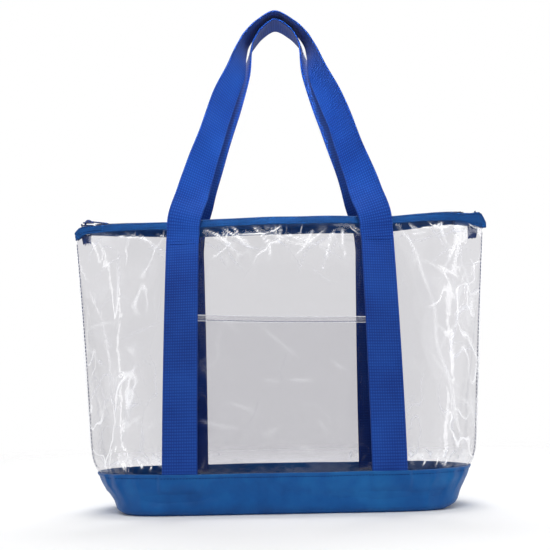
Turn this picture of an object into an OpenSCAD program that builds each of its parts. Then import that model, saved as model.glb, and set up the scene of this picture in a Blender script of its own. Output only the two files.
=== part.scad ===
// Clear zip-top beach bag: film body on a fabric base, webbing straps and two carrying loops.
// Millimetres. +X right, +Y back, +Z up. The origin is the middle of the base, on the ground.

/* [Bag] */
// Width across the two top corners
top_w = 484; // [450:1:520]
// Width across the base where it stands on the ground
base_w = 360; // [340:1:380]
// Width across the rim of the fabric base
rim_w = 422; // [400:1:440]
// Front to back depth of the base
base_d = 152; // [130:1:170]
// Front to back depth of the mouth at its middle
top_d = 60; // [52:1:70]
// Height of the fabric base
rim_z = 43; // [38:1:50]
// Height of the film, up to its cut edge under the bands
film_z = 328; // [310:1:340]

/* [Skins] */
// Thickness of the clear film
film_t = 0.8; // [0.6:0.1:1]
// Thickness of the doubled base and band fabric
cloth_t = 1.2; // [0.8:0.1:1.4]
// Thickness of the webbing
webbing_t = 1.8; // [1.4:0.1:2]
// How far the two top corners fall away beside the ends of the zip
corner_drop = 8; // [0:0.5:10]
// Clearance between layers that lie on each other
gap = 0.2; // [0.1:0.05:0.3]
// Radius where the base walls turn under
floor_r = 6; // [4:0.5:8]

/* [Straps and pocket] */
// Width of the webbing
webbing_w = 38.1; // [30:0.1:42]
// Distance between the middles of the two straps on one face
strap_pitch = 224; // [200:1:240]
// Height of the top edge of the pocket
pocket_z = 213; // [180:1:240]
// How far the middle of the pocket's mouth stands open
pocket_open = 10; // [9:0.5:12]
// Height of the pocket's folded hem
hem_h = 6.5; // [5:0.5:9]

/* [Zip] */
// Height of the visible band along the top
band_h = 9; // [7:0.5:14]
// Width of one side of the zip tape
tape_w = 14; // [12:0.5:15]
// Radius of one side of the coil
coil_r = 1.2; // [1:0.1:1.3]
// Length of the slider
slider_l = 13; // [11:0.5:14]
// Length of the pull tab
pull_l = 24; // [18:1:30]

/* [Hidden] */

cloth_blue = [0.10, 0.32, 0.62];
strap_blue = [0.14, 0.27, 0.68];
navy = [0.06, 0.12, 0.33];
clear = [0.82, 0.84, 0.88, 0.45];
zip_blue = [0.12, 0.22, 0.50];

columns = 28;
rows = 10;
film_foot = 25;
wall_foot = 1.6;
floor_t = 1.2;
band_z = film_z + 2.2;
strap_x = strap_pitch / 2;
strap_lift = cloth_t + 2 * gap;
stitch = [2.6, 0.5, 0.6];
stitch_pitch = 3.6;
coil_end = 219;
slider_x = -227.5;
slider_z = band_z + 0.2;
pull_z = slider_z + 5.6;

// Shape of the body: a horizontal slice at height z is a rounded oblong on the ground that
// becomes a lens at the mouth. bulge() and tip() set how square and how blunt the slice is.
function low(z) = min(1, max(0, z / rim_z));
function up(z) = min(1, max(0, (z - rim_z) / (film_z + 2 - rim_z)));
function turn_in(z) = z < floor_r ? floor_r * (1 - sqrt(1 - pow((floor_r - z) / floor_r, 2))) : 0;
function half_w(z) = z < rim_z
    ? (base_w + (rim_w - base_w) * pow(low(z), 0.8)) / 2 - turn_in(z)
    : (rim_w + (top_w - rim_w) * pow(up(z), 0.7)) / 2;
function half_d(z) = z < rim_z
    ? base_d / 2 - turn_in(z)
    : (top_d + (base_d - top_d) * (1 - pow(up(z), 1.7))) / 2;
function bulge(z) = z < rim_z ? 8 - 3 * low(z) : 5 - 2.4 * pow(up(z), 0.8);
function tip(z) = z < rim_z ? 0.25 + 0.25 * low(z) : 0.5 + 0.5 * pow(up(z), 2.5);
function slice(u, z) = pow(max(0, 1 - pow(min(1, abs(u)), bulge(z))), tip(z));

// A point of the front skin, from s = -1 at the left seam to 1 at the right seam, lifted off
// the film's outer face by lift, and the same at a given x.
function skin(s, z, lift) = let (u = sin(90 * s)) [
    (half_w(z) + lift) * u,
    -2 * gap - (half_d(z) + lift) * slice(u, z),
    z - corner_drop * pow(max(0, (abs(u) - 0.95) / 0.05), 1.5) * pow(up(z), 3)
];
function skin_at(x, z, lift) =
    [x, -2 * gap - (half_d(z) + lift) * slice(x / (half_w(z) + lift), z), z];
function even(a, b, n) = [for (i = [0:n]) a + (b - a) * i / n];

// Depth of the mouth's lens at x, and the height of the closed zip above it.
function mouth(x) = -skin_at(x, film_z + 2, 0)[1];
function crown(y) = band_z - 1.2 + 2.5 * (1 - abs(y) / (top_d / 2));

// A closed sheet between two grids of points of the same size.
module sheet(outer, inner) {
    r = len(outer);
    c = len(outer[0]);
    n = r * c;
    points = [for (grid = [outer, inner]) for (row = grid) each row];
    rim = [
        for (j = [0:c - 1]) j,
        for (i = [1:r - 1]) i * c + c - 1,
        for (j = [c - 2:-1:0]) (r - 1) * c + j,
        for (i = [r - 2:-1:1]) i * c
    ];
    faces = [
        for (i = [0:r - 2], j = [0:c - 2]) let (a = i * c + j) each [
            [a, a + 1, a + c + 1],
            [a, a + c + 1, a + c],
            [n + a, n + a + c + 1, n + a + 1],
            [n + a, n + a + c, n + a + c + 1]
        ],
        for (k = [0:len(rim) - 1]) let (a = rim[k], b = rim[(k + 1) % len(rim)]) each [
            [a, n + b, b],
            [a, n + a, n + b]
        ]
    ];
    polyhedron(points, faces);
}

// A sheet that covers the whole front from seam to seam. path is a list of pairs, each a lift
// and height on the outer face and the same on the inner face.
module wrap(path, n) {
    s = even(-1, 1, n);
    sheet(
        [for (p = path) [for (a = s) skin(a, p[0][1], p[0][0])]],
        [for (p = path) [for (a = s) skin(a, p[1][1], p[1][0])]]
    );
}

module to_back() {
    mirror([0, 1, 0]) children();
}

module to_right() {
    mirror([1, 0, 0]) children();
}

// Base

module base_bottom() {
    half = [for (s = even(-1, 1, columns)) skin(s, floor_t, -0.4)];
    outline = concat(
        [for (p = half) [p[0], p[1]]],
        [for (i = [columns:-1:0]) [half[i][0], -half[i][1]]]
    );
    color(cloth_blue) linear_extrude(floor_t) polygon(outline);
}

module base_front() {
    zs = [wall_foot, 3.5, floor_r, 15, 29, rim_z];
    color(cloth_blue) wrap([for (z = zs) [[gap + cloth_t, z], [gap, z]]], columns);
}

module base_back() {
    to_back() base_front();
}

// Film body

module front_panel() {
    zs = concat([film_foot], even(rim_z, film_z, rows));
    color(clear) wrap([for (z = zs) [[0, z], [-film_t, z]]], columns);
}

module back_panel() {
    to_back() front_panel();
}

module side_seam_left() {
    zs = even(rim_z + 1, film_z - 12, rows);
    edge = [for (z = zs) [-half_w(z) - 0.3, z]];
    fin = [for (i = [rows:-1:0]) [-half_w(zs[i]) - 1.3 - 1.7 * sin(180 * i / rows), zs[i]]];
    color(clear) rotate([90, 0, 0]) linear_extrude(2 * film_t, center = true) polygon(concat(edge, fin));
}

module side_seam_right() {
    to_right() side_seam_left();
}

// Pocket: a flat piece of film held under the two front straps, its mouth standing a little open.
function slack(x, z) =
    let (free = min(1, abs(x) / (strap_x - webbing_w / 2)))
    pocket_open * pow(cos(90 * free), 2) * pow((z - rim_z) / (pocket_z - rim_z), 1.5);

module pocket_panel() {
    xs = even(-strap_x, strap_x, 16);
    zs = even(rim_z + 0.4, pocket_z - hem_h - gap, 8);
    color(clear) sheet(
        [for (z = zs) [for (x = xs) skin_at(x, z, slack(x, z) + gap + film_t)]],
        [for (z = zs) [for (x = xs) skin_at(x, z, slack(x, z) + gap)]]
    );
}

module pocket_hem() {
    xs = even(-strap_x, strap_x, 16);
    zs = [pocket_z - hem_h, pocket_z];
    color(clear) sheet(
        [for (z = zs) [for (x = xs) skin_at(x, z, slack(x, z) + gap + cloth_t)]],
        [for (z = zs) [for (x = xs) skin_at(x, z, slack(x, z) + gap)]]
    );
}

// Top bands: fabric folded over the cut edge of the film
module front_top_band() {
    foot = film_z + 2 - band_h;
    inside = -film_t - gap;
    path = [
        [[gap + cloth_t, foot], [gap, foot]],
        [[gap + cloth_t, film_z + 1], [gap, film_z + gap]],
        [[gap, band_z], [-film_t / 2, film_z + gap + 0.1]],
        [[inside, band_z], [-film_t / 2 - 0.1, film_z + gap + 0.1]],
        [[inside - cloth_t, film_z + 1], [inside, film_z + gap]],
        [[inside - cloth_t, foot], [inside, foot]]
    ];
    color(cloth_blue) wrap(path, columns);
}

module back_top_band() {
    to_back() front_top_band();
}

// Straps sewn to the film, from the rim of the base over the bands
module front_strap_left() {
    xs = even(-strap_x - webbing_w / 2, -strap_x + webbing_w / 2, 3);
    zs = even(rim_z + 0.5, film_z, rows);
    color(strap_blue) sheet(
        [for (z = zs) [for (x = xs) skin_at(x, z, strap_lift + webbing_t)]],
        [for (z = zs) [for (x = xs) skin_at(x, z, strap_lift)]]
    );
}

module front_strap_right() {
    to_right() front_strap_left();
}

module back_strap_left() {
    to_back() front_strap_left();
}

module back_strap_right() {
    to_right() back_strap_left();
}

// Rows of stitches
module stitch_row(x0, x1, z, lift) {
    n = floor((x1 - x0) / stitch_pitch);
    for (i = [0:n - 1]) {
        x = x0 + (i + 0.5) * (x1 - x0) / n;
        translate(skin_at(x, z, lift) - [0, stitch[1] / 2, 0]) cube(stitch, center = true);
    }
}

module front_strap_stitching() {
    color(navy) for (side = [-1, 1], z = [film_z - 27, film_z - 24]) {
        middle = side * strap_x;
        stitch_row(middle - webbing_w / 2 + 4, middle + webbing_w / 2 - 4, z, strap_lift + webbing_t + 0.3);
    }
}

module back_strap_stitching() {
    to_back() front_strap_stitching();
}

module base_stitching() {
    half = strap_x + webbing_w / 2 + 30;
    color(navy) {
        stitch_row(-half, half, rim_z - 4, cloth_t + gap + 0.2);
        to_back() stitch_row(-half, half, rim_z - 4, cloth_t + gap + 0.2);
    }
}

module pocket_stitching() {
    half = strap_x - webbing_w / 2 - 2;
    n = floor(2 * half / stitch_pitch);
    color(navy) for (i = [0:n - 1]) {
        x = -half + (i + 0.5) * 2 * half / n;
        z = pocket_z - hem_h + 2;
        lift = slack(x, z) + gap + cloth_t + 0.4;
        translate(skin_at(x, z, lift) - [0, stitch[1] / 2, 0]) cube(stitch, center = true);
    }
}

// The stitches that close the side seams, on both faces of each seam
module side_stitching() {
    n = floor((film_z - rim_z - 30) / 4.6);
    color(navy) for (i = [0:n], x_side = [-1, 1], y_side = [-1, 1]) {
        z = rim_z + 12 + 4.6 * i;
        slope = atan2(half_w(z + 2) - half_w(z - 2), 4);
        translate([x_side * (half_w(z) + 1.1), y_side * (film_t + 0.35), z])
            rotate([0, x_side * slope, 0]) cube([0.6, 0.5, 3], center = true);
    }
}

// Zip: on each side a fabric strip, a tape and half of the coil
module zip_strip(xs, outer, inner, z_low, z_high) {
    sheet(
        [for (k = [0:2]) [for (x = xs) let (y = outer(x) + (inner - outer(x)) * k / 2) [x, -y, crown(y) + z_high]]],
        [for (k = [0:2]) [for (x = xs) let (y = outer(x) + (inner - outer(x)) * k / 2) [x, -y, crown(y) + z_low]]]
    );
}

module front_zip_panel() {
    edge = function(x) mouth(x) - 3;
    color(cloth_blue) zip_strip(even(-168, 168, 20), edge, tape_w - 0.5, -0.2, 0.4);
}

module back_zip_panel() {
    to_back() front_zip_panel();
}

module front_zip_tape() {
    edge = function(x) min(tape_w, mouth(x) - 2.6);
    color(zip_blue) zip_strip(even(-coil_end, coil_end, 24), edge, 2 * coil_r + 0.5, 0.6, 1.2);
}

module back_zip_tape() {
    to_back() front_zip_tape();
}

module front_zip_coil() {
    color(navy)
        translate([0, -coil_r - gap, crown(0) + 1])
            rotate([0, 90, 0]) cylinder(r = coil_r, h = 2 * coil_end, center = true, $fn = 24);
}

module back_zip_coil() {
    to_back() front_zip_coil();
}

// Slider: two plates joined by a neck, with a bridge that holds the pull
module zip_slider() {
    color(navy) translate([slider_x, 0, slider_z]) {
        for (z = [0, 3.4]) {
            translate([0, 0, z]) linear_extrude(0.8) offset(2) square([slider_l - 4, 5], center = true);
        }
        translate([-3.5, 0, 0.4]) cylinder(d = 2.4, h = 3.4, $fn = 32);
        difference() {
            translate([0, 0, 4]) rotate([90, 0, 0]) cylinder(d = 7.4, h = 2.6, center = true, $fn = 48);
            translate([0, 0, 5.6]) rotate([90, 0, 0]) cylinder(d = 2.4, h = 4, center = true, $fn = 32);
            translate([-6, -3, 0]) cube([12, 6, 3.5]);
        }
    }
}

// Pull: a tab on a fork whose pin runs through the bridge
module zip_pull() {
    pin_r = 0.9;
    color(zip_blue) translate([slider_x, 0, pull_z]) {
        rotate([90, 0, 0]) cylinder(r = pin_r, h = 6.6, center = true, $fn = 32);
        difference() {
            translate([0, 0, -0.6]) linear_extrude(1.2) hull() {
                translate([1.5, 0]) square([3, 6.6], center = true);
                translate([pull_l - 3, 0]) circle(r = 3.4, $fn = 40);
            }
            translate([-4, -1.6, -2]) cube([8.7, 3.2, 4]);
            translate([pull_l - 3.5, 0, -2]) cylinder(d = 2.6, h = 4, $fn = 32);
        }
    }
}

module zip_stops() {
    color(navy) for (x = [slider_x - slider_l / 2 - 1.2, coil_end + 14.5]) {
        translate([x - 0.6, -3, slider_z + 0.6]) cube([1.2, 6, 2.4]);
    }
}

// Ends: the band and the zip fabric folded together over each top corner
module zip_end_left() {
    corner = half_w(film_z) + cloth_t + gap + 0.4;
    foot = film_z - 14;
    end = slider_x - slider_l / 2 - 2;
    profile = [
        [-corner, foot], [-corner, band_z + 1 - corner_drop], [-corner + 5.5, band_z - 2.8],
        [end, band_z + 0.3], [end, band_z + 3], [-corner + 6, band_z + 4], [-corner + 3, band_z + 2.4],
        [-corner - 1.2, band_z - 5], [-corner - 1.8, foot + 3], [-corner - 1.4, foot]
    ];
    color(cloth_blue) rotate([90, 0, 0]) linear_extrude(5, center = true) polygon(profile);
}

module zip_end_right() {
    to_right() zip_end_left();
}

// Tails: the cut ends of the zip tape, hanging inside each top corner
module zip_tail_left() {
    x = -half_w(film_z) + 11;
    foot = film_z - 20;
    profile = [
        [x - 4, film_z - 2], [x + 3.5, film_z - 2], [x + 4.5, foot + 3], [x + 1, foot], [x - 2.5, foot + 5]
    ];
    color(zip_blue) rotate([90, 0, 0]) linear_extrude(0.5, center = true) polygon(profile);
}

module zip_tail_right() {
    to_right() zip_tail_left();
}

// Handles: each is one length of webbing that turns edge-on as it rises to the top of its loop.
// A point is x, y, z and the turn of the webbing about the vertical.
front_route = [
    [-112, -30, 328.8, -5], [-111.3, -30.3, 334, -5], [-106, -33, 348, 8], [-94.5, -28, 380, 28],
    [-78.5, -24, 431, 42], [-63.4, -19, 477, 46], [-49.3, -14, 512, 58], [-41.8, -9, 541, 77],
    [-35.4, -6.5, 557, 84], [-22, -4.5, 573, 88], [0, -4, 585, 90]
];
back_route = [
    [-112, -30, 328.8, -5], [-111.2, -30.3, 334, -5], [-105, -33, 348, 8], [-91, -28, 380, 28],
    [-72, -24, 431, 42], [-55, -19, 477, 46], [-41, -14, 512, 60], [-32.5, -9, 541, 79],
    [-28, -6.5, 554, 84], [-17, -4.5, 568.5, 88], [0, -4, 578.5, 90]
];
function loop(half) = concat(half, [for (i = [len(half) - 2:-1:0]) let (p = half[i]) [-p[0], p[1], p[2], 180 - p[3]]]);
function spline(p, k, t) =
    let (a = p[max(k - 1, 0)], b = p[k], c = p[k + 1], d = p[min(k + 2, len(p) - 1)])
    0.5 * (2 * b + (c - a) * t + (2 * a - 5 * b + 4 * c - d) * t * t + (3 * b - a - 3 * c + d) * t * t * t);
function unit(v) = v / norm(v);
function place(p) = [p[0], p[1], p[2]];

module handle(half) {
    steps = 3;
    route = loop(half);
    line = [
        for (k = [0:len(route) - 2], i = [0:steps - 1]) spline(route, k, i / steps),
        route[len(route) - 1]
    ];
    last = len(line) - 1;
    along = [for (i = [0:last]) unit(place(line[min(i + 1, last)]) - place(line[max(i - 1, 0)]))];
    across = [
        for (i = [0:last]) let (w = [cos(line[i][3]), sin(line[i][3]), 0])
            w / norm(w - (w * along[i]) * along[i])
    ];
    function edge(i, w, t) = place(line[i]) + w * across[i] + t * unit(cross(along[i], across[i]));
    color(strap_blue) sheet(
        [for (i = [0:last]) [for (w = [-1, 0, 1]) edge(i, w * webbing_w / 2, webbing_t / 2)]],
        [for (i = [0:last]) [for (w = [-1, 0, 1]) edge(i, w * webbing_w / 2, -webbing_t / 2)]]
    );
}

module front_handle() {
    handle(front_route);
}

module back_handle() {
    to_back() handle(back_route);
}

base_bottom();
base_front();
base_back();
front_panel();
back_panel();
side_seam_left();
side_seam_right();
pocket_panel();
pocket_hem();
front_top_band();
back_top_band();
front_strap_left();
front_strap_right();
back_strap_left();
back_strap_right();
front_strap_stitching();
back_strap_stitching();
base_stitching();
pocket_stitching();
side_stitching();
front_zip_panel();
back_zip_panel();
front_zip_tape();
back_zip_tape();
front_zip_coil();
back_zip_coil();
zip_slider();
zip_pull();
zip_stops();
zip_end_left();
zip_end_right();
zip_tail_left();
zip_tail_right();
front_handle();
back_handle();
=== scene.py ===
"""Looks of a clear zip-top beach bag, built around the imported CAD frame. Metres, row frame."""

import math
import random

import bmesh
import bpy
import numpy as np
from mathutils import Matrix, Vector, noise


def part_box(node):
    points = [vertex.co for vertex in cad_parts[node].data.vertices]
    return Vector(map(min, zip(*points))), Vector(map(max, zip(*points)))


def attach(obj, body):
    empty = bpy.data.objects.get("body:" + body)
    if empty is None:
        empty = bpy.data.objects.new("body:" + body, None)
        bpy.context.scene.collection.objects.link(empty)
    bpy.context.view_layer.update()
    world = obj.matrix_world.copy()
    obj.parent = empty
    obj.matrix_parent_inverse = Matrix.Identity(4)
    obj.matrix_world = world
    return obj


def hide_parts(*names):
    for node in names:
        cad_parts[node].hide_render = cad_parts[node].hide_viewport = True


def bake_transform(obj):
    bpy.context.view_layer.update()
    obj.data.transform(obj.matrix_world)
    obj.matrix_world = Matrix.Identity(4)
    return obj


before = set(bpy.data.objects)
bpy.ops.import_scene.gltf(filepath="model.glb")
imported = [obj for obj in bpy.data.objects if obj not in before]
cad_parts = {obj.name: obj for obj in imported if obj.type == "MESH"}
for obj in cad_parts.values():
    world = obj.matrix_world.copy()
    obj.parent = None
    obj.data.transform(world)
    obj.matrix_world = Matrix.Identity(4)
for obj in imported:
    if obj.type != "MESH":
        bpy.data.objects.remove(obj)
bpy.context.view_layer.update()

# ---------------------------------------------------------------- sizes taken from the frame

MM = 0.001
LAYER = 0.2 * MM
FILM_T = 0.8 * MM
CLOTH_T = 1.2 * MM
WEBBING_T = 1.8 * MM
FLOOR_R = 6 * MM

film_lo, film_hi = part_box("front_panel")
wall_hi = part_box("base_front")[1]
strap_lo, strap_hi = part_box("front_strap_left")
hem_lo, hem_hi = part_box("pocket_hem")
slider_lo, slider_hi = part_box("zip_slider")
pull_lo, pull_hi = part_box("zip_pull")
stop_lo, stop_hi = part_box("zip_stops")

RIM_Z = wall_hi.z
FILM_Z = film_hi.z
BAND_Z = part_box("front_top_band")[1].z
BAND_FOOT = BAND_Z - 9.2 * MM
TOP_HALF = film_hi.x
RIM_HALF = wall_hi.x - LAYER - CLOTH_T
BASE_HALF_D = -film_lo.y - 2 * LAYER
BASE_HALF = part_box("base_bottom")[1].x + 1.05 * MM
MOUTH_HALF = 30 * MM
STRAP_X = -(strap_lo.x + strap_hi.x) / 2
WEBBING_W = strap_hi.x - strap_lo.x
STRAP_EDGE = STRAP_X - WEBBING_W / 2
STRAP_LIFT = CLOTH_T + 2 * LAYER
POCKET_Z = hem_hi.z
HEM_H = hem_hi.z - hem_lo.z
COIL_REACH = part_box("front_zip_coil")[1].x
LEFT_DROOP = 2.2 * MM
RIGHT_RISE = 5 * MM
ZIP_RISE = 1.0 * MM
CROWN_RISE = 2.5 * MM
STRAP_FOOT = RIM_Z - 9 * MM
STRAP_LEAVES = FILM_Z - 26 * MM
POCKET_FOOT = RIM_Z - 6 * MM

FRONT, BACK = -1, 1
FACES = (FRONT, BACK)
FACE_WORD = {FRONT: "front", BACK: "back"}
LEFT, RIGHT = -1, 1
ENDS = (LEFT, RIGHT)
END_WORD = {LEFT: "left", RIGHT: "right"}


# ---------------------------------------------------------------- shape of the body

def smooth(t):
    t = np.clip(t, 0, 1)
    return t * t * (3 - 2 * t)


def low(z):
    """How far up the base a height is, from 0 to 1."""
    return np.clip(z / RIM_Z, 0, 1)


def up(z):
    """How far up the film a height is, from 0 at the rim to 1 at the band."""
    return np.clip((z - RIM_Z) / (FILM_Z + 2 * MM - RIM_Z), 0, 1)


def turn_in(z):
    """How far the walls turn in towards the rounded edge of the floor."""
    t = np.clip((FLOOR_R - z) / FLOOR_R, 0, 1)
    return FLOOR_R * (1 - np.sqrt(1 - t * t))


def half_w(z):
    """Half width: the base flares up to its rim, and the film bellies out just above it."""
    base = BASE_HALF + (RIM_HALF - BASE_HALF) * low(z) ** 0.8 - turn_in(z)
    above_rim = 0.27 * (1 - np.exp(-up(z) / 0.03)) + 0.73 * up(z) ** 1.15
    return np.where(z < RIM_Z, base, RIM_HALF + (TOP_HALF - RIM_HALF) * above_rim)


def half_d(z):
    """Half depth: a box at the base, closing to the mouth at the top."""
    body = MOUTH_HALF + (BASE_HALF_D - MOUTH_HALF) * (1 - up(z) ** 1.7)
    return np.where(z < RIM_Z, BASE_HALF_D - turn_in(z), body)


def slice_depth(u, z):
    """Share of the half depth at u, from 1 in the middle to 0 at the seams: boxy low, a lens high."""
    power = np.where(z < RIM_Z, 8 - 3 * low(z), 5 - 2.4 * up(z) ** 0.8)
    blunt = np.where(z < RIM_Z, 0.25 + 0.25 * low(z), 0.5 + 0.5 * up(z) ** 2.5)
    return np.maximum(0, 1 - np.minimum(1, np.abs(u)) ** power) ** blunt


def corner_drop(u, z):
    """The top edge falls away at its two corners."""
    return 8 * MM * np.maximum(0, (np.abs(u) - 0.95) / 0.05) ** 1.5 * up(z) ** 3


def droop(x, z):
    """The top hangs low at the left and beside the straps, and stands up at the right end."""
    beside = np.exp(-((np.abs(x) - STRAP_X) / (26 * MM)) ** 2)
    fall = LEFT_DROOP * smooth(-x / (150 * MM)) - RIGHT_RISE * smooth((x - 120 * MM) / (85 * MM))
    return (fall + 1.2 * MM * beside) * up(z) ** 5


def skin(s, z, lift=0.0, side=FRONT):
    """Points of the front or back skin, lifted off the film's outer face; s runs from seam to seam."""
    return skin_at((half_w(z) + lift) * np.sin(np.pi / 2 * s), z, lift, side)


def skin_at(x, z, lift=0.0, side=FRONT):
    """The same for given places x."""
    x, z, lift = np.broadcast_arrays(*(np.asarray(values, float) for values in (x, z, lift)))
    u = x / (half_w(z) + lift)
    y = side * (2 * LAYER + (half_d(z) + lift) * slice_depth(u, z))
    return np.stack([x, y, z - corner_drop(u, z) - droop(x, z)], -1)


def mouth(x):
    """Half depth of the mouth at x."""
    return float(-skin_at(x, FILM_Z + 2 * MM)[1])


def crown(y, x=0.0):
    """Height of the closed zip fabric at a distance y from the middle line."""
    z = FILM_Z + ZIP_RISE + CROWN_RISE * (1 - np.abs(y) / MOUTH_HALF)
    return z - droop(x, FILM_Z)


# ---------------------------------------------------------------- mesh helpers

def new_object(name, vertices, faces, material, uv=None, smooth=True):
    """A mesh object with one material; uv holds a place for each vertex."""
    mesh = bpy.data.meshes.new(name)
    mesh.from_pydata([tuple(v) for v in vertices], [], [tuple(f) for f in faces])
    if uv is not None:
        layer = mesh.uv_layers.new(name="UVMap")
        index = np.zeros(len(mesh.loops), int)
        mesh.loops.foreach_get("vertex_index", index)
        layer.data.foreach_set("uv", np.asarray(uv, np.float32)[index].ravel())
    mesh.polygons.foreach_set("use_smooth", [smooth] * len(mesh.polygons))
    mesh.materials.append(material)
    mesh.validate()
    mesh.update()
    obj = bpy.data.objects.new(name, mesh)
    bpy.context.scene.collection.objects.link(obj)
    return obj


def film_fields(obj, **fields):
    """What the film material reads at each point: crease, slack and pale, as numbers or arrays."""
    for name, values in fields.items():
        attribute = obj.data.attributes.new(name, "FLOAT", "POINT")
        values = np.broadcast_to(values, np.shape(values) or len(obj.data.vertices))
        attribute.data.foreach_set("value", values.astype(np.float32).ravel())


def grid_faces(rows, cols, start=0, flip=False, closed=False):
    """Quads of a grid of points; closed joins the last column to the first."""
    faces = []
    for i in range(rows - 1):
        for j in range(cols if closed else cols - 1):
            k = (j + 1) % cols
            quad = (start + i * cols + j, start + i * cols + k,
                    start + (i + 1) * cols + k, start + (i + 1) * cols + j)
            faces.append(quad[::-1] if flip else quad)
    return faces


def slab(name, outer, inner, material, flip=False):
    """A closed sheet between two grids of points, rows by columns by 3."""
    rows, cols = outer.shape[:2]
    n = rows * cols
    faces = grid_faces(rows, cols, 0, flip) + grid_faces(rows, cols, n, not flip)
    index = np.arange(n).reshape(rows, cols)
    rim = [*index[0], *index[1:, -1], *index[-1, -2::-1], *index[-2:0:-1, 0]]
    for a, b in zip(rim, rim[1:] + rim[:1]):
        quad = (a, n + a, n + b, b)
        faces.append(quad[::-1] if flip else quad)
    vertices = np.concatenate([outer.reshape(-1, 3), inner.reshape(-1, 3)])
    return new_object(name, vertices, faces, material)


def open_sheet(name, points, material, flip=False):
    """One skin through a grid of points."""
    rows, cols = points.shape[:2]
    return new_object(name, points.reshape(-1, 3), grid_faces(rows, cols, 0, flip), material)


def loft(name, rings, material, uv=None, flip=False):
    """A closed tube through rings of points, with both ends capped."""
    rows, cols = rings.shape[:2]
    faces = grid_faces(rows, cols, 0, flip, closed=True)
    first, last = range(cols), range((rows - 1) * cols, rows * cols)
    faces += [first, last[::-1]] if flip else [first[::-1], last]
    return new_object(name, rings.reshape(-1, 3), faces, material, None if uv is None else uv.reshape(-1, 2))


def around(count):
    """Cosine and sine of evenly spaced turns round a circle."""
    return [(math.cos(a), math.sin(a)) for a in (2 * math.pi * k / count for k in range(count))]


def arc(start, stop, count):
    """Cosine and sine of turns from start to stop, in radians."""
    return [(math.cos(a), math.sin(a)) for a in np.linspace(start, stop, count)]


def squarer(value, power):
    """A cosine or sine flattened, so that a circle becomes a rounded box."""
    return math.copysign(abs(value) ** power, value)


def tube(name, path, radius, sides, material):
    """A round tube along a path, with closed ends."""
    path = [Vector(p) for p in path]
    rings = []
    for i, p in enumerate(path):
        along = (path[min(i + 1, len(path) - 1)] - path[max(i - 1, 0)]).normalized()
        side_way = along.cross(Vector((0, 0, 1)))
        if side_way.length < 1e-3:
            side_way = along.cross(Vector((0, 1, 0)))
        side_way.normalize()
        other = along.cross(side_way)
        rings.append([p + radius * (c * side_way + s * other) for c, s in around(sides)])
    return loft(name, np.array(rings), material, flip=True)


def line_noise(values, scale, row, layer=0.0):
    """Smooth noise along a line, from -1 to 1."""
    return np.array([noise.noise(Vector((v * scale, row, layer))) for v in values])


def normals_of(points):
    """Unit normals of a grid of points, pointing the way of columns cross rows."""
    across = np.gradient(points, axis=1)
    along = np.gradient(points, axis=0)
    n = np.cross(across, along)
    return n / np.maximum(np.linalg.norm(n, axis=-1, keepdims=True), 1e-12)


def noise_grid(points, scale, seed):
    """Smooth noise at each point of a grid, from -1 to 1; scale is in waves a metre for x, y and z."""
    shift = Vector((seed * 3.17, seed * 1.71, seed * 2.33))
    flat = np.asarray(points, float).reshape(-1, 3) * np.asarray(scale, float)
    values = [noise.noise(Vector(p) + shift) for p in flat]
    return np.array(values).reshape(np.asarray(points).shape[:-1])


def join(name, objects):
    """Several objects of one material as one piece."""
    vertices, faces, offset = [], [], 0
    material = objects[0].data.materials[0]
    for obj in objects:
        vertices += [tuple(v.co) for v in obj.data.vertices]
        faces += [tuple(offset + i for i in p.vertices) for p in obj.data.polygons]
        offset = len(vertices)
    for obj in objects:
        bpy.data.objects.remove(obj)
    return new_object(name, vertices, faces, material)


def sewn(piece, slot_name, *nodes, body="bag"):
    """A piece that rides one body, hiding the CAD nodes that it replaces; slot_name is not used."""
    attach(piece, body)
    if nodes:
        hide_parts(*nodes)
    return piece


# ---------------------------------------------------------------- materials

class Nodes:
    """Short ways to make and link the nodes of a material or a world."""

    def __init__(self, tree):
        self.nodes = tree.nodes
        self.links = tree.links

    def node(self, kind, **settings):
        made = self.nodes.new(f"ShaderNode{kind}")
        for setting, value in settings.items():
            setattr(made, setting, value)
        return made

    def coords(self, kind="Object"):
        return self.node("TexCoord").outputs[kind]

    def feed(self, socket, value):
        """Link a socket to another one, or give it a plain value."""
        if isinstance(value, bpy.types.NodeSocket):
            self.links.new(value, socket)
        else:
            socket.default_value = value

    def feed_all(self, node, values):
        for socket, value in values.items():
            self.feed(node.inputs[socket], value)

    def math(self, operation, *values):
        node = self.node("Math", operation=operation)
        self.feed_all(node, dict(enumerate(values)))
        return node.outputs[0]

    def times(self, a, b):
        return self.math("MULTIPLY", a, b)

    def plus(self, a, b):
        return self.math("ADD", a, b)

    def most(self, a, b):
        return self.math("MAXIMUM", a, b)

    def wave(self, value, pitch):
        return self.math("SINE", self.times(value, 2 * math.pi / pitch))

    def split(self, vector):
        node = self.node("SeparateXYZ")
        self.feed(node.inputs[0], vector)
        return node.outputs

    def noise(self, vector, scale, detail=3.0, output="Fac"):
        node = self.node("TexNoise")
        self.feed_all(node, {"Vector": vector, "Scale": scale, "Detail": detail})
        return node.outputs[output]

    def ease(self, value, low, high, top=1.0):
        """0 below low, top above high, and smooth between."""
        node = self.node("MapRange", interpolation_type="SMOOTHSTEP")
        self.feed_all(node, {"Value": value, "From Min": low, "From Max": high, "To Max": top})
        return node.outputs["Result"]

    def mix(self, share, first, second):
        node = self.node("MixShader")
        self.feed_all(node, {0: share, 1: first, 2: second})
        return node.outputs[0]


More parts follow.
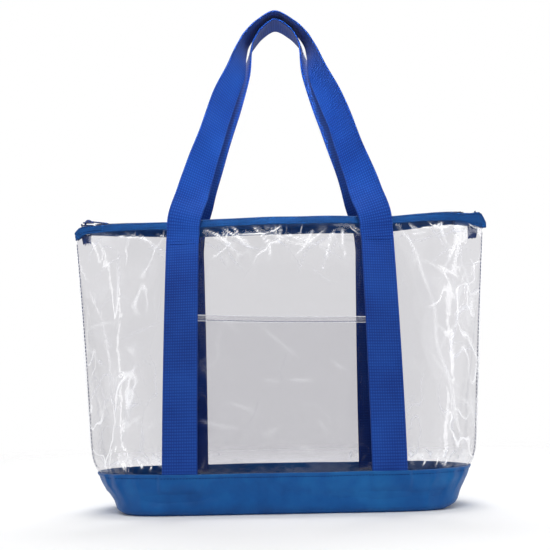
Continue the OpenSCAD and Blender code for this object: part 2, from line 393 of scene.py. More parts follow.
class Look(Nodes):
    """A material being made: its nodes and its Principled shader."""

    def __init__(self, name):
        self.material = bpy.data.materials.new(name)
        self.material.use_nodes = True
        super().__init__(self.material.node_tree)
        self.shader = self.nodes["Principled BSDF"]

    def tones(self, value, *stops):
        """Colour the surface along a ramp; stops are (place, colour)."""
        node = self.node("ValToRGB")
        while len(node.color_ramp.elements) < len(stops):
            node.color_ramp.elements.new(0.5)
        for element, (place, colour) in zip(node.color_ramp.elements, stops):
            element.position = place
            element.color = (*colour, 1)
        self.feed(node.inputs["Fac"], value)
        self.feed(self.shader.inputs["Base Color"], node.outputs["Color"])

    def bumps(self, *heights):
        """Bumps laid over each other; heights are (socket, strength, distance in metres)."""
        normal = None
        for height, strength, distance in heights:
            bump = self.node("Bump")
            self.feed_all(bump, {"Height": height, "Strength": strength, "Distance": distance})
            if normal is not None:
                self.feed(bump.inputs["Normal"], normal)
            normal = bump.outputs["Normal"]
        self.feed(self.shader.inputs["Normal"], normal)
        return normal

    def speckle(self, dark, light, scale, detail, strength, depth, places=(0.3, 0.7)):
        """A fine grain in the colour and in the height of the surface."""
        grain = self.noise(self.coords(), scale, detail)
        self.tones(grain, (places[0], dark), (places[1], light))
        self.bumps((grain, strength, depth))
        return grain

    def surface(self, shader):
        self.feed(self.nodes["Material Output"].inputs["Surface"], shader)


def cloth_material(name, dark, mid, light, roughness, sheen, thread=0.55 * MM, wrinkle=1.0):
    """Coated polyester: fine weave, soft sheen, cloudy colour and small creases."""
    look = Look(name)
    coords = look.coords()
    x, y, z = look.split(coords)
    threads = look.times(look.wave(look.plus(x, y), thread), look.wave(z, thread))
    clouds = look.noise(coords, 14, 4)
    creases = look.noise(coords, 55, 5)
    look.tones(look.plus(look.times(clouds, 0.65), look.times(creases, 0.35)),
               (0.25, dark), (0.5, mid), (0.78, light))
    look.feed_all(look.shader, {
        "Roughness": look.math("MULTIPLY_ADD", clouds, 0.18, roughness - 0.09),
        "Sheen Weight": sheen, "Sheen Roughness": 0.5, "Specular IOR Level": 0.2})
    look.bumps((clouds, 0.35 * wrinkle, 8 * MM), (creases, 0.4 * wrinkle, 1.6 * MM),
               (threads, 0.25, 0.15 * MM))
    return look.material


def webbing_material(name, dark, mid, light):
    """Ribbed webbing, laid out along the strap by its UVs, which are in metres."""
    look = Look(name)
    uv = look.coords("UV")
    across, along, _ = look.split(uv)
    raised = [look.plus(look.wave(way, pitch), 1) for way, pitch in ((across, 2.7 * MM), (along, 3.2 * MM))]
    dots = look.math("SUBTRACT", look.times(look.times(*raised), 0.5), 0.55)
    rib = look.wave(along, 1.3 * MM)
    fuzz = look.noise(uv, 900)
    clouds = look.noise(look.coords(), 18)
    woven = look.plus(look.times(dots, 0.24), look.times(rib, 0.12))
    cloudy = look.times(look.math("SUBTRACT", clouds, 0.5), 0.55)
    fuzzy = look.times(look.math("SUBTRACT", fuzz, 0.5), 0.15)
    total = look.plus(look.plus(woven, look.plus(cloudy, fuzzy)), 0.5)
    look.tones(total, (0.2, dark), (0.5, mid), (0.8, light))
    look.feed_all(look.shader, {
        "Roughness": 0.62, "Sheen Weight": 0.08, "Sheen Roughness": 0.4, "Specular IOR Level": 0.2})
    look.bumps((clouds, 0.2, 4 * MM), (dots, 0.35, 0.2 * MM), (rib, 0.4, 0.15 * MM), (fuzz, 0.15, 0.06 * MM))
    return look.material


def painted_reflections(look, coords, scale, width, gate_scale, gate):
    """Painted reflections: thin curved highlight lines that come and go where a smooth noise passes its
    middle value, and the lighter patches that they bound, standing for lamps mirrored in crumpled film."""
    level = look.noise(coords, scale, 1.0)
    off = look.math("ABSOLUTE", look.math("SUBTRACT", level, 0.5))
    line = look.math("SUBTRACT", 1.0, look.ease(off, 0.0, width))
    open_here = look.ease(look.noise(coords, gate_scale, 2.0), gate, gate + 0.12)
    return look.times(line, open_here), look.ease(level, 0.5, 0.53)


def film_material(name, tint=(0.835, 0.895), milk=0.0):
    """Clear vinyl: a faint grey tint, whitened along its creases, glossy all over. The whitening is a
    faintly
    glowing white shader: partly the vinyl's own crease whitening, and partly painted glints, painted
    highlight lines, a painted haze and lighter painted-reflection patches where it is slack.
    The mesh gives three fields: crease along its own folds, slack where it is free to crumple, and
    pale where it lies clearer, which on the panels is a painted reflection of the lamps. milk is the least
    whiteness anywhere. Rays from the lamps meet it clearer than the eye does, as thin film hardly shades
    what is behind it."""
    look = Look(name)
    coords = look.coords()
    crease, free, pale = [look.node("Attribute", attribute_name=field).outputs["Fac"]
                          for field in ("crease", "slack", "pale")]
    drawn = look.node("Mapping")
    look.feed_all(drawn, {"Vector": coords, "Scale": (1.0, 0.5, 0.5)})
    warp = look.node("VectorMath", operation="MULTIPLY_ADD")
    look.feed_all(warp, {0: look.noise(coords, 26, 2, "Color"), 1: [0.022] * 3, 2: drawn.outputs[0]})
    # Painted highlight lines where the lamps' reflections end on crumpled film, and the lighter patches
    # inside them.
    large, reflected_patch = painted_reflections(look, warp.outputs[0], 17, 0.014, 15, 0.47)
    small, _ = painted_reflections(look, warp.outputs[0], 36, 0.022, 13, 0.51)
    glint_lines = look.times(look.most(large, small), free)
    reflected_patch = look.times(look.times(reflected_patch, free), 0.6)
    # A painted haze: faint whitening in noisy blotches where the film is slack, standing for a soft
    # reflection.
    painted_haze = look.times(look.ease(look.noise(coords, 24, 4), 0.50, 0.78, 0.10), free)
    # Whiteness: crease whitening with painted glints, the painted highlight lines, the painted haze and the
    # milk.
    whiteness_and_glints = look.most(look.most(look.most(crease, look.times(glint_lines, 0.5)), painted_haze), milk)

    # The tint is lighter where the pale field or the painted patches say so: a painted reflection of the
    # lamps.
    clearness = look.node("Mix", data_type="RGBA")
    low, high = [(tone, tone - 0.003, tone + 0.012, 1) for tone in tint]
    look.feed_all(clearness, {"Factor": look.most(pale, reflected_patch), 6: low, 7: high})
    lit_through = look.node("Mix", data_type="RGBA")
    from_lamp = look.node("LightPath").outputs["Is Shadow Ray"]
    look.feed_all(lit_through, {"Factor": from_lamp, 6: clearness.outputs[2], 7: (0.97, 0.97, 0.98, 1)})
    clear = look.node("BsdfTransparent")
    look.feed(clear.inputs["Color"], lit_through.outputs[2])
    # The whitening shader glows a little: painted light, so that its creases read white against the lit
    # backdrop.
    look.feed_all(look.shader, {
        "Base Color": (0.95, 0.955, 0.97, 1), "Roughness": 0.35,
        "Emission Color": (0.93, 0.95, 1, 1), "Emission Strength": 0.42})
    normal = look.bumps((look.noise(coords, 30), 0.25, 3 * MM), (glint_lines, 0.4, 0.7 * MM))
    gloss = look.node("BsdfGlossy")
    look.feed_all(gloss, {"Roughness": 0.08, "Normal": normal})
    fresnel = look.node("Fresnel")
    look.feed_all(fresnel, {"IOR": 1.45, "Normal": normal})
    veiled = look.mix(whiteness_and_glints, clear.outputs[0], look.shader.outputs[0])
    look.surface(look.mix(look.math("MINIMUM", fresnel.outputs[0], 0.16), veiled, gloss.outputs[0]))
    return look.material


def thread_material(name, dark, light):
    look = Look(name)
    look.speckle(dark, light, 1400, 2, 0.5, 0.1 * MM)
    look.feed_all(look.shader, {"Roughness": 0.7, "Specular IOR Level": 0.1})
    return look.material


def enamel_material(name, dark, light):
    """Painted die-cast metal with small wear."""
    look = Look(name)
    spots = look.speckle(dark, light, 420, 4, 0.15, 0.2 * MM, places=(0.35, 0.75))
    look.feed_all(look.shader, {
        "Roughness": look.math("MULTIPLY_ADD", spots, 0.3, 0.3), "Coat Weight": 0.12, "Coat Roughness": 0.3})
    return look.material


def plain_material(name, colour, roughness, grain, depth):
    look = Look(name)
    dark, light = [tuple(min(1, c * tone) for c in colour) for tone in (0.82, 1.1)]
    look.speckle(dark, light, grain, 3, 0.3, depth)
    look.feed_all(look.shader, {"Roughness": roughness})
    return look.material


CLOTH = cloth_material("blue_cloth", (0.002, 0.046, 0.19), (0.004, 0.078, 0.28), (0.010, 0.130, 0.37),
                       0.42, 0.03, wrinkle=1.6)
BAND = cloth_material("band_cloth", (0.002, 0.038, 0.16), (0.004, 0.058, 0.22), (0.008, 0.082, 0.28),
                      0.55, 0.02, wrinkle=0.7)
TAPE = cloth_material("zip_tape", (0.004, 0.016, 0.08), (0.007, 0.028, 0.13), (0.012, 0.045, 0.19),
                      0.6, 0.2, thread=0.7 * MM, wrinkle=0.4)
WEBBING = webbing_material("webbing", (0.002, 0.020, 0.155), (0.004, 0.041, 0.255), (0.012, 0.076, 0.36))
FILM = film_material("clear_film")
SEAM = film_material("seam_film", (0.80, 0.88), milk=0.10)
# Opaque pale tubes on the hem's two edges: painted highlights of the folded clear film.
HEM_GLINT = plain_material("hem_tape", (0.84, 0.85, 0.90), 0.18, 300, 0.2 * MM)
BLUE_THREAD = thread_material("blue_thread", (0.002, 0.010, 0.07), (0.004, 0.022, 0.14))
COIL = plain_material("zip_coil", (0.010, 0.032, 0.14), 0.35, 800, 0.1 * MM)
METAL = enamel_material("zip_metal", (0.006, 0.025, 0.13), (0.02, 0.07, 0.28))


# ---------------------------------------------------------------- film body

def crease(rng, x, z, heading, lengths, bend, widths, rises, both_ways=True):
    """One crease in (x, z): a start, a heading, a length, a bend, a width and a height. The pairs are
    the limits of random draws, in millimetres, and bend is the spread of one, in radians a metre."""
    return (x, z, heading, rng.uniform(*lengths) * MM, rng.gauss(0, bend), rng.uniform(*widths) * MM,
            rng.uniform(*rises) * MM * (rng.choice((-1, 1)) if both_ways else 1))


def crease_lines(rng):
    """Creases up the sides, under the band, beside the straps, over the rim and across the middle."""
    lines = []
    for _ in range(30):
        x = rng.choice((-1, 1)) * (TOP_HALF - abs(rng.gauss(0, 40 * MM)) - 8 * MM)
        z = rng.uniform(RIM_Z + 8 * MM, FILM_Z - 12 * MM)
        heading = math.pi / 2 + rng.gauss(0, 0.5)
        lines.append(crease(rng, x, z, heading, (22, 80), 18, (1.4, 2.6), (0.12, 0.4)))
    for _ in range(30):
        x = rng.uniform(-TOP_HALF * 0.93, TOP_HALF * 0.93)
        z = FILM_Z - rng.uniform(7, 22) * MM
        lines.append(crease(rng, x, z, rng.gauss(-0.1, 0.5), (14, 40), 26, (1.1, 1.7), (0.2, 0.6)))
    for x in (-74, -66, -52, 38, 52, 63, 72):
        lines.append((x * MM, FILM_Z - rng.uniform(12, 18) * MM, rng.gauss(-1.2 if x < 0 else -2.2, 0.3),
                      rng.uniform(24, 46) * MM, (26 if x < 0 else 7) * rng.uniform(0.6, 1.3),
                      rng.uniform(1.6, 2.6) * MM, rng.uniform(0.2, 0.5) * MM))
    for _ in range(40):
        x = rng.choice((-1, 1)) * rng.uniform(60, 208) * MM
        z = RIM_Z + rng.uniform(1, 14) * MM
        lines.append(crease(rng, x, z, rng.gauss(1.57, 0.6), (5, 20), 36, (1.2, 2.0), (0.2, 0.6)))
    for _ in range(5):
        x = rng.uniform(-85, 85) * MM
        z = rng.uniform(RIM_Z + 40 * MM, FILM_Z - 30 * MM)
        lines.append(crease(rng, x, z, rng.uniform(0, math.pi), (15, 40), 14, (2.4, 4), (0.1, 0.2)))
    return lines


def fold_edge(z):
    """Where the long soft fold runs up the film beside the right-hand strap; the film's painted reflection
    lies to its right, with a painted highlight line along it.
    """
    t = (z - RIM_Z) / (FILM_Z - RIM_Z)
    return (192 - 16 * t - 46 * t ** 3 + 4.5 * np.sin(9 * t + 0.6) + 2 * np.sin(23 * t)) * MM


def crease_field(x, z, lines):
    """Height and whiteness of the creases at each (x, z); the whiteness is partly the vinyl's crease
    whitening and partly painted glints.
    """
    height = np.zeros(x.shape)
    white = np.zeros(x.shape)
    for x0, z0, heading, length, bend, width, rise in lines:
        steps = 9
        px, pz, angle = x0, z0, heading
        best = np.full(x.shape, 1e9)
        where = np.zeros(x.shape)
        for k in range(steps + 1):
            nx = px + math.cos(angle) * length / steps
            nz = pz + math.sin(angle) * length / steps
            dx, dz = nx - px, nz - pz
            t = np.clip(((x - px) * dx + (z - pz) * dz) / (dx * dx + dz * dz), 0, 1)
            d = np.hypot(x - px - t * dx, z - pz - t * dz)
            nearer = d < best
            best = np.where(nearer, d, best)
            where = np.where(nearer, (k + t) / (steps + 1), where)
            px, pz = nx, nz
            angle += bend * length / steps
        fade = np.sin(np.pi * np.clip(where, 0, 1)) ** 0.6
        height += rise * fade * np.exp(-(best / (1.7 * width)) ** 1.3)
        white = np.maximum(white, fade * np.exp(-(best / (0.42 * width)) ** 2))
    return height, white


def film_panel(side, seed):
    """One panel with its creases and its slow waves, and whiter where it crumples, partly as crease
    whitening and partly as painted glints and painted reflections.
    """
    cols, rows = 321, 181
    s, z = np.meshgrid(np.linspace(-1, 1, cols), np.linspace(film_lo.z, FILM_Z, rows))
    points = skin(s, z, 0.0, side)
    x = points[..., 0]
    away_from_straps = smooth((np.abs(np.abs(x) - STRAP_X) - WEBBING_W / 2 + 2 * MM) / (12 * MM))
    free = smooth((z - RIM_Z) / (8 * MM)) * smooth((FILM_Z - 7 * MM - z) / (6 * MM)) * away_from_straps
    free = free * smooth((1 - np.abs(s)) / 0.04)
    inside_pocket = (np.abs(x) < STRAP_X) & (z < POCKET_Z + 4 * MM)
    free = np.where(inside_pocket & (side == FRONT), 0.15 * free, free)
    sides = smooth((np.abs(x) - 118 * MM) / (70 * MM))
    height, white = crease_field(x, z, crease_lines(random.Random(seed)))
    from_fold = x - fold_edge(z)
    broad = noise_grid(points, (16, 0, 9), seed) * (0.8 * MM + 1.8 * MM * sides)
    ripple = noise_grid(points, (52, 0, 24), seed + 5) * (0.08 * MM + 0.4 * MM * sides)
    fold = 0.9 * MM * smooth(from_fold / (5 * MM) + 0.5) * (side == FRONT)
    points = points - side * normals_of(points) * ((height + broad + ripple + fold) * free)[..., None]
    panel = open_sheet(f"film_{FACE_WORD[side]}", points, FILM, flip=side == BACK)
    # Painted glints: the crease whiteness is strongest under the band and over the rim, where the lamps
    # glint on crumpled film in front of dark cloth.
    near_band = smooth((z - FILM_Z + 30 * MM) / (14 * MM))
    under_band = np.maximum(near_band, 0.45 * smooth((z - FILM_Z + 62 * MM) / (20 * MM)))
    over_rim = smooth((RIM_Z + 20 * MM - z) / (12 * MM)) * smooth((np.abs(x) - 45 * MM) / (40 * MM))
    strength = np.maximum(0.10 + 0.14 * sides, 0.85 * np.maximum(under_band, over_rim))
    bright = white * strength
    # A painted highlight line along the edge of the fold, where the lamp's reflection ends.
    if side == FRONT:
        fold_glint = 0.55 + 0.45 * noise_grid(points, (30, 0, 45), 77)
        bright = np.maximum(bright, 0.38 * fold_glint * np.exp(-(from_fold / (1.5 * MM)) ** 2))
    crumpled = np.clip(np.maximum(np.maximum(0.85 * sides, under_band), over_rim) + 0.04, 0, 1)
    # pale here is a painted reflection: lighter right of the fold and towards the sides, as a lamp mirrored
    # in the film.
    cloud = noise_grid(points, (13, 0, 8), seed + 20)
    pale = smooth(from_fold / (7 * MM) + 0.5) * (0.75 + 0.5 * cloud) + 0.18 * sides * (1 + 2 * cloud)
    loose = crumpled * np.clip(free + 0.05, 0, 1)
    film_fields(panel, crease=bright * free, slack=loose, pale=np.clip(pale, 0, 1))
    return sewn(panel, "clear_film", f"{FACE_WORD[side]}_panel")


films = {FRONT: film_panel(FRONT, 11), BACK: film_panel(BACK, 23)}


# ---------------------------------------------------------------- more of the film: seams and pocket

def side_seam(end):
    """The sewn edge where the two panels meet: a narrow pale strip of doubled film."""
    rows, cols = 90, 6
    z = np.linspace(RIM_Z - 3 * MM, FILM_Z - 6 * MM, rows)
    edge = skin(end, z)
    t = np.linspace(0, 1, rows)
    width = (1.4 + 2.6 * np.sin(np.pi * t ** 0.8) ** 0.6) * MM
    wave = np.array([noise.noise(Vector((end * 3.0, v * 14, 0))) for v in z])
    lines = []
    for reach in np.linspace(0, 1, cols):
        x = edge[:, 0] + end * (width * reach * (1 + 0.35 * wave) - 1.2 * MM)
        lines.append(np.stack([x, 0.9 * MM * wave * reach, edge[:, 2]], -1))
    seam = open_sheet(f"seam_{END_WORD[end]}", np.stack(lines, 1), SEAM, flip=end == RIGHT)
    film_fields(seam, crease=np.tile(np.linspace(0.12, 0.5, cols), (rows, 1)), slack=0.4, pale=0.5)
    return sewn(seam, "clear_film", f"side_seam_{END_WORD[end]}")


seams = [side_seam(end) for end in ENDS]

POCKET_OPEN = 6 * MM
HEM_TILT = -0.028
HEM_SAG = 2.0 * MM


def slack(x, z):
    """How far the pocket stands off the film: most at the middle of its mouth."""
    rise = np.clip((z - RIM_Z) / (POCKET_Z - RIM_Z), 0, 1) ** 1.5
    free = np.clip(x / STRAP_EDGE, -1, 1)
    return POCKET_OPEN * np.cos(np.pi / 2 * free) ** 2 * rise


def pocket_top(x):
    """Height of the hem's upper edge, which sags and falls a little to the right."""
    sag = HEM_SAG * np.cos(np.pi / 2 * np.clip(x / STRAP_X, -1, 1)) ** 2
    return POCKET_Z - 0.4 * MM - sag + HEM_TILT * np.clip(x, -STRAP_X, STRAP_X)


def pocket_lift(x, z):
    return slack(x, z) + LAYER + FILM_T


def pocket_film():
    """The pocket's panel, sewn in under the straps and the rim, and loose at its mouth."""
    cols, rows = 111, 81
    x, t = np.meshgrid(np.linspace(-STRAP_X - 4 * MM, STRAP_X + 4 * MM, cols), np.linspace(0, 1, rows))
    z = POCKET_FOOT + (pocket_top(x) - POCKET_FOOT) * t
    points = skin_at(x, z, pocket_lift(x, z))
    rng = random.Random(5)
    lines = []
    for _ in range(10):
        start = rng.uniform(-80, 80) * MM, rng.uniform(60, 200) * MM
        lines.append(crease(rng, *start, rng.uniform(0, 3.1), (15, 60), 10, (2.4, 4), (0.2, 0.6), False))
    height, white = crease_field(x, z, lines)
    free = smooth((z - RIM_Z) / (14 * MM)) * smooth((STRAP_EDGE - np.abs(x)) / (12 * MM))
    broad = noise_grid(points, (14, 0, 10), 31) * 1.6 * MM
    height = np.maximum(height + broad, -0.5 * slack(x, z)) * free
    points[..., 1] -= height
    piece = open_sheet("pocket_film", points, FILM)
    spots = smooth(noise_grid(points, (85, 0, 85), 9) * 5 - 0.8) * smooth((RIM_Z + 62 * MM - z) / (30 * MM))
    film_fields(piece, crease=0.14 * white * free, slack=0.10 * free, pale=0.25 - 0.25 * spots)
    return sewn(piece, "clear_film", "pocket_panel")


def pocket_edge():
    """The hem: the film folded over along the pocket's mouth, with a pale bead at each edge, a painted
    highlight along each fold of the clear film.
    """
    x = np.linspace(-STRAP_X, STRAP_X, 121)
    top = pocket_top(x)
    lift = pocket_lift(x, top)
    grid = [skin_at(x, top - HEM_H * t, lift + 0.5 * MM) for t in np.linspace(0.02, 0.98, 6)]
    fold = open_sheet("pocket_hem_film", np.array(grid), SEAM, flip=True)
    film_fields(fold, crease=0.0, slack=0.1, pale=0.8)
    beads = []
    # Each bead is a painted highlight along one edge of the fold.
    for drop, radius in ((0.0, 0.36 * MM), (1.0, 0.26 * MM)):
        wander = line_noise(x, 30, drop * 7, 1.0) * 0.3 * MM
        path = skin_at(x, top - HEM_H * drop + wander, lift + 0.35 * MM)
        beads.append(tube("bead", path, radius, 8, HEM_GLINT))
    return [sewn(piece, "hem_tape", "pocket_hem") for piece in (fold, join("pocket_hem_glints", beads))]


pocket = pocket_film()
hem_pieces = pocket_edge()


# ---------------------------------------------------------------- fabric base

# Where each pleat meets the rim as a share of its half width, how far it leans in going down, how far
# down it reaches as a share of the wall, and its depth in millimetres.
PLEATS = [(0.86, 0.35, 0.75, 2.8), (0.76, 0.25, 0.95, 2.0), (0.93, 0.5, 0.6, 2.2)]


def pleats(x, z):
    """Folds pressed into the front and back walls beside the corners."""
    height = np.zeros(np.shape(x))
    for place, lean, reach, depth in PLEATS:
        for end in ENDS:
            across = end * x - (RIM_HALF * place - lean * (RIM_Z - z))
            down = np.clip((RIM_Z - z) / (RIM_Z * reach), 0, 1)
            fold = np.exp(-(across / np.where(across > 0, 7 * MM, 1.8 * MM)) ** 2)
            height = height + depth * MM * fold * (1 - down) ** 0.7 * smooth((RIM_Z - z) / (3 * MM) + 0.4)
    return height


def strap_bulge(x, z):
    """The wall is lifted where the strap ends are tucked under its rim."""
    near = smooth((WEBBING_W / 2 + 6 * MM - np.abs(np.abs(x) - STRAP_X)) / (6 * MM))
    return 2.4 * MM * near * smooth((z - 18 * MM) / (14 * MM))


def wall_lift(x, z, seed):
    """How far the loose cloth stands off its smooth shape; it never sinks into the film behind it."""
    places = np.stack([x, 0 * x, z + 0 * x], -1)
    broad = noise_grid(places, (22, 0, 34), seed) * 2.2 * MM
    wave = broad + noise_grid(places, (60, 0, 45), seed + 3) * 0.8 * MM
    drift = noise_grid(places, (7, 0, 0), seed + 6)
    roll = 1.5 * MM * np.sin(2 * np.pi * (1.1 * z / RIM_Z + 0.1 + 0.5 * drift))
    loose = smooth(z / (9 * MM)) * smooth((RIM_Z + 3 * MM - z) / (8 * MM))
    stand = pleats(x, z) + wave * loose + roll * loose * smooth((RIM_Z - 5 * MM - z) / (9 * MM))
    backed = 0.5 * (stand + np.sqrt(stand * stand + (0.8 * MM) ** 2))
    behind = smooth((z - film_lo.z + 6 * MM) / (5 * MM))
    return stand + (backed - stand) * behind + strap_bulge(x, z)


def wall_sag(x, z, seed):
    """How far the rim rises and falls along its length."""
    places = np.stack([x, 0 * x, 0 * x], -1)
    return noise_grid(places, (16, 0, 0), seed + 9) * 0.9 * MM * smooth((z - 30 * MM) / (10 * MM))


WALL_SEED = {FRONT: 41, BACK: 47}
WALL_H = 43.0
RIM_GROOVE = 38.9
# A wall's section, in millimetres off the film and above the floor of a wall WALL_H high: up the
# outside, over the folded rim with its stitched groove, and down the inside.
WALL_SECTION = [
    (0.0, 0.35), (0.9, 0.15), (1.4, 1.2), (1.4, 2.6), (1.4, 4.4), (1.4, 6.5),
    *((1.4, z) for z in range(9, 36, 3)),
    (1.45, 36), (1.25, 38.2), (1.15, RIM_GROOVE), (1.3, 39.6), (1.7, 40.8), (1.75, 42.0), (1.4, WALL_H),
    (0.7, 43.1), (0.25, 42.4), (0.2, 36), (0.2, 24), (0.2, 10), (0.2, 2)]


def base_wall(side):
    """One wall of the base: its section carried from seam to seam, with pleats, waves and a roll."""
    s = np.linspace(-1, 1, 301)
    seed = WALL_SEED[side]
    lines = []
    for lift, height in WALL_SECTION:
        z = height * RIM_Z / WALL_H
        x = skin(s, z, lift * MM, side)[:, 0]
        line = skin(s, z, lift * MM + wall_lift(x, z, seed), side)
        line[:, 2] += wall_sag(x, z, seed)
        lines.append(line)
    wall = loft(f"base_{FACE_WORD[side]}_wall", np.stack(lines, 1), CLOTH, flip=side == BACK)
    return sewn(wall, "blue_cloth", f"base_{FACE_WORD[side]}")


def base_floor():
    """The bottom: one piece of the same cloth, seen through the film from above."""
    s = np.linspace(-1, 1, 121)
    front = skin(s, 1.2 * MM, -0.2 * MM)
    back = front * [1, -1, 1]
    t = np.linspace(0, 1, 21)[:, None]
    top = front * (1 - t[..., None]) + back * t[..., None]
    wave = np.abs(noise_grid(top, (12, 12, 0), 3)) * 0.8 * MM
    top[..., 2] = 1.3 * MM + wave * smooth(np.minimum(t, 1 - t) * 8) * smooth((1 - np.abs(s)) * 12)
    return sewn(slab("base_floor", top, top * [1, 1, 0], CLOTH), "blue_cloth", "base_bottom")


walls = {side: base_wall(side) for side in FACES}
bottom = base_floor()


# ---------------------------------------------------------------- bands along the top

BAND_GROOVES = (2.2, 7.1)


def top_band(side, seed):
    """The band folded over one panel's top edge, with two stitched grooves along its outside."""
    s = np.linspace(-1, 1, 261)
    top, foot, cut = BAND_Z, BAND_FOOT, FILM_Z
    outside = [(0.2, 0), (0.9, -0.2), (1.5, 0.6), (1.55, 1.5), (1.2, BAND_GROOVES[0]), (1.45, 3.2), (1.6, 5),
               (1.45, 6.6), (1.2, 7.2)]
    over = [(1.3, -1.2), (0.8, -0.2), (0.0, 0.1), (-1.0, 0), (-1.9, -0.6), (-2.2, -2)]
    inside = [(-2.2, 1), (-1.9, 0), (-1.1, 0)]
    round_the_film = [(-1.0, 0.2), (0.2, 0.25)]
    stretches = ((foot, outside), (top, over), (foot, inside), (cut, round_the_film))
    section = [(lift, level + z * MM) for level, stretch in stretches for lift, z in stretch]
    lines = []
    for lift, z in section:
        x = skin(s, z, lift * MM, side)[:, 0]
        places = np.stack([x, 0 * x, z + 0 * x], -1)
        wave = noise_grid(places, (30, 0, 60), seed) * 0.35 * MM * (lift > 0.5)
        line = skin(s, z, lift * MM + wave, side)
        line[:, 2] += noise_grid(places, (19, 0, 0), seed + 2) * 0.7 * MM
        lines.append(line)
    band = loft(f"band_{FACE_WORD[side]}", np.stack(lines, 1), BAND, flip=side == BACK)
    return sewn(band, "blue_cloth", f"{FACE_WORD[side]}_top_band")


bands = {FRONT: top_band(FRONT, 61), BACK: top_band(BACK, 67)}


# ---------------------------------------------------------------- stitches

def stitches(name, places, *nodes, length=2.4 * MM, radius=0.28 * MM):
    """Short threads; places are (point, along, outward), and nodes are what they stand for in the CAD."""
    rings_at = [(-1.0, 0.15), (-0.75, 0.8), (0.0, 1.0), (0.75, 0.8), (1.0, 0.15)]
    sides = 6
    vertices, faces = [], []
    for point, along, outward in places:
        point, along, outward = Vector(point), Vector(along).normalized(), Vector(outward).normalized()
        across = along.cross(outward).normalized()
        start = len(vertices)
        for t, r in rings_at:
            centre = point + along * (t * length / 2) - outward * (0.25 * radius * abs(t))
            vertices += [centre + radius * r * (c * across + s * outward) for c, s in around(sides)]
        faces += grid_faces(len(rings_at), sides, start, closed=True)
        faces += [range(start, start + sides)[::-1], range(len(vertices) - sides, len(vertices))]
    return sewn(new_object(name, vertices, faces, BLUE_THREAD), "blue_thread", *nodes)


def spaced(a, b, pitch):
    return np.linspace(a, b, max(2, int(round(abs(b - a) / pitch)) + 1))


def skin_row(a, b, pitch, z, lift, side=FRONT):
    """Stitch places along a line of the skin; z and lift may be functions of x."""
    xs = spaced(a, b, pitch)
    places = []
    for start, stop in zip(xs, xs[1:]):
        x = (start + stop) / 2
        height = z(x) if callable(z) else z
        rise = lift(x) if callable(lift) else lift
        first, middle, last = [skin_at(v, height, rise, side) for v in (start, x, stop)]
        along = Vector(last - first)
        places.append((middle, along, Vector((0, 0, 1)).cross(along) * side))
    return places


for side in FACES:
    places = []
    for end in ENDS:
        a, b = [end * STRAP_X + edge * (WEBBING_W / 2 - 4.5 * MM) for edge in ENDS]
        for drop in (27.5 * MM, 23.5 * MM):
            places += skin_row(a, b, 3.0 * MM, FILM_Z - drop, STRAP_LIFT + WEBBING_T + 0.3 * MM, side)
    word = FACE_WORD[side]
    stitches(f"stitches_strap_{word}", places, f"{word}_strap_stitching", radius=0.36 * MM)


def groove_row(side):
    """Along the groove below the base's folded rim, as the cloth waves there."""
    z = RIM_Z * RIM_GROOVE / WALL_H
    seed = WALL_SEED[side]
    reach = RIM_HALF * 0.97
    return skin_row(-reach, reach, 3.4 * MM, lambda x: z + wall_sag(x, z, seed),
                    lambda x: 1.4 * MM + wall_lift(x, z, seed), side)


def seam_rows():
    """Down both side seams, on both faces."""
    heights = spaced(RIM_Z + 4 * MM, FILM_Z - 12 * MM, 4.4 * MM)
    places = []
    for end in ENDS:
        line = skin(end, heights)
        for a, b in zip(line, line[1:]):
            x, _, z = (a + b) / 2
            places += [((x + end * 0.2 * MM, face * 0.6 * MM, z), b - a, (0, face, 0)) for face in FACES]
    return places


def band_rows():
    """Along the two grooves of each band."""
    reach = TOP_HALF * 0.985
    places = []
    for side in FACES:
        for groove in BAND_GROOVES:
            places += skin_row(-reach, reach, 3.2 * MM, BAND_FOOT + groove * MM, 1.3 * MM, side)
    return places


stitches("stitches_base", groove_row(FRONT) + groove_row(BACK), "base_stitching")
hem_row = skin_row(-STRAP_EDGE, STRAP_EDGE, 3.2 * MM, lambda x: pocket_top(x) - 0.86 * HEM_H,
                   lambda x: pocket_lift(x, pocket_top(x)) + 0.75 * MM)
stitches("stitches_pocket", hem_row, "pocket_stitching", radius=0.32 * MM)
stitches("stitches_sides", seam_rows(), "side_stitching", length=3.6 * MM, radius=0.42 * MM)
stitches("stitches_bands", band_rows(), radius=0.24 * MM)


# ---------------------------------------------------------------- zip

CLOTH_REACH = 172 * MM


def zip_strip(name, side, end, reach, outer, inner, low_z, high_z, material, seed, ripple):
    """A strip beside the zip from an outer edge, given as a function of x, in to a straight one."""
    x, t = np.meshgrid(end * np.linspace(0, reach, 90), np.linspace(0, 1, 9))
    outline = np.array([outer(abs(v)) for v in x[0]])
    y = outline + (inner - outline) * t
    wave = noise_grid(np.stack([x, y, 0 * y], -1), (45, 60, 0), seed) * ripple
    wave = wave * smooth(t * 5) * smooth((1 - t) * 5)
    high, low = [np.stack([x, side * y, crown(y, x) + rise + wave], -1) for rise in (high_z, low_z)]
    return slab(name, high, low, material, flip=side != end)


def coil(name, side, end):
    """One side of the coil: a nylon filament wound in a flattened helix."""
    pitch, radius, wire = 1.5 * MM, 1.15 * MM, 0.42 * MM
    steps = 10
    path = []
    for k in range(int(COIL_REACH / pitch) * steps + 1):
        a = 2 * math.pi * k / steps
        x = end * (k / steps) * pitch + side * pitch / 4
        y = side * (1.15 * MM + 1.25 * radius * math.cos(a))
        path.append((x, y, crown(0.0, x) + 1.0 * MM + 0.8 * radius * math.sin(a)))
    return tube(name, path, wire, 5, COIL)


